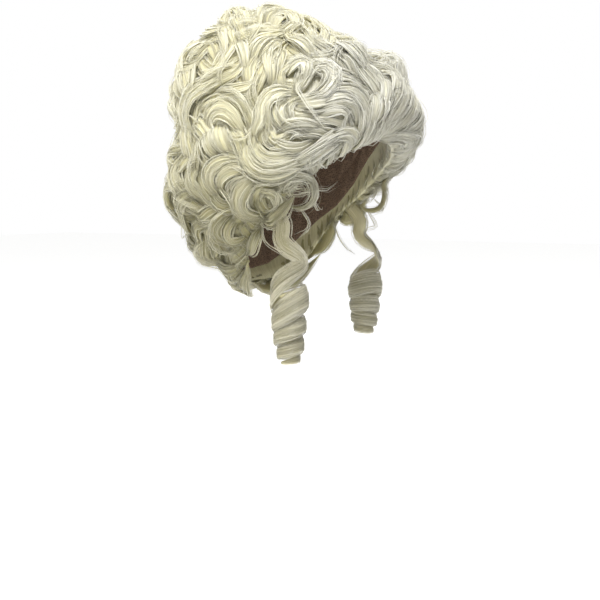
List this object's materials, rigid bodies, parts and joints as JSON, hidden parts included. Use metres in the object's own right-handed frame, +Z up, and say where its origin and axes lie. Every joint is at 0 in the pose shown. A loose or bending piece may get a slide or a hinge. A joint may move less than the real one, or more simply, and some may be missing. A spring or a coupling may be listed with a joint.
{
  "type": "high curled cosplay wig with side ringlets",
  "caption": "Tall pale updo wig: hair swept up from the brow into piled loops and curls on a thin net cap, with a corkscrew ringlet hanging before each ear.",
  "frame": {"origin": "inside of the cap's crown, where the top of the head bears", "axes": "+Z up the head, -Y the way the wearer faces, +X towards the wearer's left"},
  "size_m": [0.2508, 0.2675, 0.3505],
  "materials": {
    "hair": "synthetic hair, soft sheen",
    "cap_net": "matt stretch net"
  },
  "bodies": {
    "root": {"cap": "cap_net", "pompadour": "hair", "crown_curls": "hair", "side_curls_right": "hair", "side_curls_left": "hair", "back_curls": "hair", "nape_curls": "hair", "ringlet_right": "hair", "ringlet_left": "hair"}
  },
  "joints": []
}
